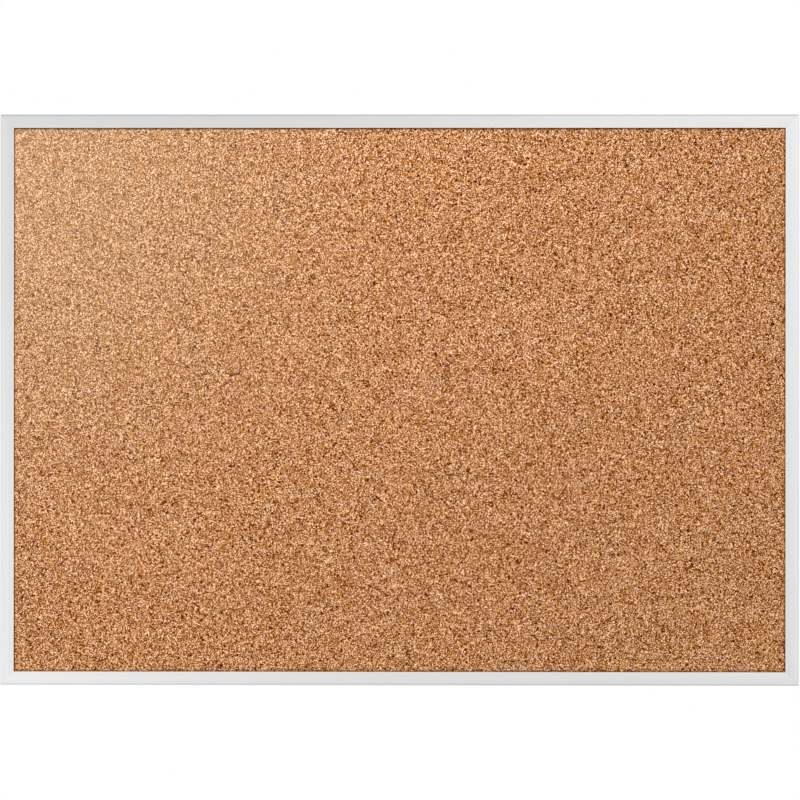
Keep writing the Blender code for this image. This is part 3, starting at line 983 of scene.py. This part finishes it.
def add_hanger(side, finish):
    """A sheet steel plate with a bar along its top, a tongue, a keyhole and sheared, eased edges."""
    node = f"hanger_{side}"
    low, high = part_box(node)
    half_bar, half_tongue = (high.x - low.x) / 2, TONGUE_WIDTH / 2
    top, bottom = high.z - BOARD_HIGH.z, low.z - BOARD_HIGH.z
    outline = rounded([
        (half_bar, top, SHOULDER_RADIUS),
        (-half_bar, top, SHOULDER_RADIUS),
        (-half_bar, -SHOULDER_DROP, SHOULDER_RADIUS),
        (-half_tongue, -SHOULDER_DROP, SHOULDER_RADIUS),
        (-half_tongue, bottom, SHOULDER_RADIUS),
        (half_tongue, bottom, SHOULDER_RADIUS),
        (half_tongue, -SHOULDER_DROP, SHOULDER_RADIUS),
        (half_bar, -SHOULDER_DROP, SHOULDER_RADIUS),
    ])
    plate = extruded([outline, keyhole()], HANGER_SHEET, f"zinc_{node}")
    applied(bevelled(plate, 0.18 * MM, 3, 60))
    combine(plate, "UNION", hem(half_bar - SHOULDER_RADIUS, high.y - low.y, top))
    applied(plate)
    smooth(welded(plate.data), 40)
    flat_faces(plate)
    location = ((low.x + high.x) / 2, high.y - HANGER_SHEET / 2, BOARD_HIGH.z)
    placed(plate, location, Matrix.Rotation(pi / 2, 3, "X"))
    dress(plate, node, finish, f"{side}_hanger")


# --- Studio ------------------------------------------------------------------------------------------


def add_floor():
    """A round pale floor, well below the hanging board, that fades into the white at its rim."""
    work = bmesh.new()
    bmesh.ops.create_circle(work, cap_ends=True, segments=128, radius=FLOOR_RADIUS)
    mesh = bpy.data.meshes.new("floor")
    work.to_mesh(mesh)
    work.free()
    mesh.transform(Matrix.Translation((0, 0, -FLOOR_DROP)))
    floor = object_from(mesh, "floor")
    made, tree, shader = new_material("pale_floor", Roughness=0.9, Specular_IOR_Level=0.2)
    place = add(tree, "ShaderNodeTexCoord").outputs["Object"]
    distance = length_of(tree, scaled(tree, place, (1, 1, 0)))
    speckle = remap(tree, clouds(tree, place, 0.6, 3.0), 0.3, 0.7)
    set_shader(tree, shader, Base_Color=ramp(tree, speckle, [(0, (0.655,) * 3), (1, (0.665,) * 3)]),
               Alpha=remap(tree, distance, 2.0, FLOOR_RADIUS, 1.0, 0.0, soft=True))
    mesh.materials.append(made)


def light_world():
    """White all round, softer at the sides and softest overhead."""
    world = bpy.data.worlds.new("studio")
    bpy.context.scene.world = world
    world.use_nodes = True
    tree = world.node_tree
    background = tree.nodes["Background"]
    direction = add(tree, "ShaderNodeTexCoord").outputs["Generated"]
    parts = parts_of(tree, direction)
    overhead = remap(tree, parts[2], 0.15, 0.60, 1.0, OVERHEAD_LEVEL, soft=True)
    beside = remap(tree, calc(tree, "ABSOLUTE", parts[0]), 0.25, 0.75, 1.0, SIDE_LEVEL, soft=True)
    tree.links.new(times(tree, overhead, beside), background.inputs["Strength"])
    background.inputs["Color"].default_value = (1, 1, 1, 1)


def add_key_light():
    """A square lamp up to the left. Its reflection is kept off the metal."""
    light = bpy.data.lights.new("key", "AREA")
    light.shape = "SQUARE"
    light.size = KEY_SIZE
    light.energy = KEY_POWER
    lamp = bpy.data.objects.new("key", light)
    lamp.location = KEY_PLACE
    lamp.rotation_mode = "QUATERNION"
    lamp.rotation_quaternion = (Vector((0, FRONT, 0)) - Vector(KEY_PLACE)).to_track_quat("-Z", "Y")
    lamp.visible_glossy = False
    bpy.context.scene.collection.objects.link(lamp)


def add_camera():
    camera = bpy.data.cameras.new("camera")
    camera.lens = CAMERA_LENS
    camera.sensor_width = 36
    camera.clip_start = 0.1
    camera.clip_end = 100
    made = bpy.data.objects.new("camera", camera)
    back = Vector((sin(CAMERA_YAW), -cos(CAMERA_YAW), 0))
    middle = Vector((0, FRONT, (BOARD_LOW.z + BOARD_HIGH.z) / 2))
    made.location = middle + CAMERA_AIM + back * CAMERA_DISTANCE
    made.rotation_mode = "QUATERNION"
    turn = (-back).to_track_quat("-Z", "Y")
    made.rotation_quaternion = turn @ Matrix.Rotation(CAMERA_ROLL, 3, "Z").to_quaternion()
    bpy.context.scene.collection.objects.link(made)
    bpy.context.scene.camera = made


# --- The board ---------------------------------------------------------------------------------------

bpy.context.scene.view_settings.view_transform = "Standard"
zinc = zinc_material()
add_rails()
add_cork()
add_backing()
add_screws(zinc)
add_bumpers()
add_hanger("left", zinc)
add_hanger("right", zinc)
finish_node("fibreboard_core", fibreboard_material())
for corner_key in [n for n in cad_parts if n.startswith("corner_key")]:
    finish_node(corner_key, zinc)

add_floor()
light_world()
add_key_light()
add_camera()
